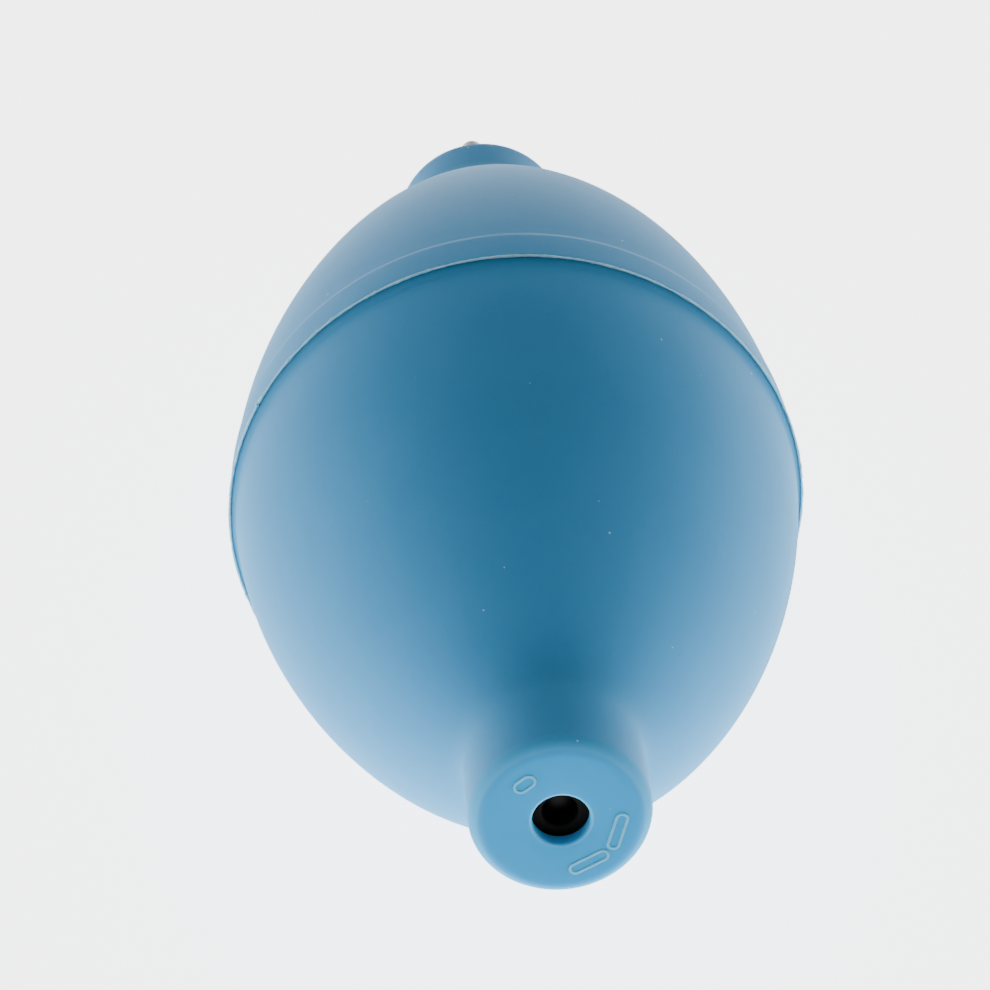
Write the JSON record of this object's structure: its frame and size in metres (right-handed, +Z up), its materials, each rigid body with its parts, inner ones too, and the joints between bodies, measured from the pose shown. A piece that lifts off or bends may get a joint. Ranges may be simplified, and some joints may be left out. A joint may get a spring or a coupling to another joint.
{
  "type": "dust blower bulb",
  "caption": "Hand-squeezed silicone air blower with a ball check valve in its rear neck and a thin metal nozzle in its front neck.",
  "frame": {"origin": "on the surface that the blower lies on, under the middle of its bounding box", "axes": "+Z up; the blower lies on its belly with its axis in the YZ plane, the nozzle towards +Y and 13.0 degrees nose down, which is how it balances; the inlet valve faces -Y"},
  "size_m": [0.0546, 0.1294, 0.0552],
  "materials": {
    "blue_silicone": "satin",
    "silicone_cement": "satin",
    "black_acetal": "satin",
    "black_nitrile": "matte",
    "nickel_plate": "satin",
    "stainless_steel": "satin"
  },
  "bodies": {
    "bulb": {"rear_bulb_half": "blue_silicone", "front_bulb_half": "blue_silicone", "seam_cement_bead": "silicone_cement", "nozzle_ferrule": "nickel_plate", "nozzle_tube": "stainless_steel"},
    "inlet_end": {"inlet_valve_body": "black_acetal", "inlet_valve_cage": "black_acetal"},
    "valve_ball": {"inlet_valve_ball": "black_nitrile"}
  },
  "joints": [
    {"name": "thumb_press", "type": "slide", "parent": "bulb", "child": "inlet_end", "axis": [0, 0.9742, -0.2257], "range_m": [0, 0.01], "stiffness_N_per_m": 1000, "deforming": ["rear_bulb_half"]},
    {"name": "ball_lift", "type": "slide", "parent": "inlet_end", "child": "valve_ball", "axis": [0, 0.9742, -0.2257], "range_m": [0, 0.0012]}
  ]
}
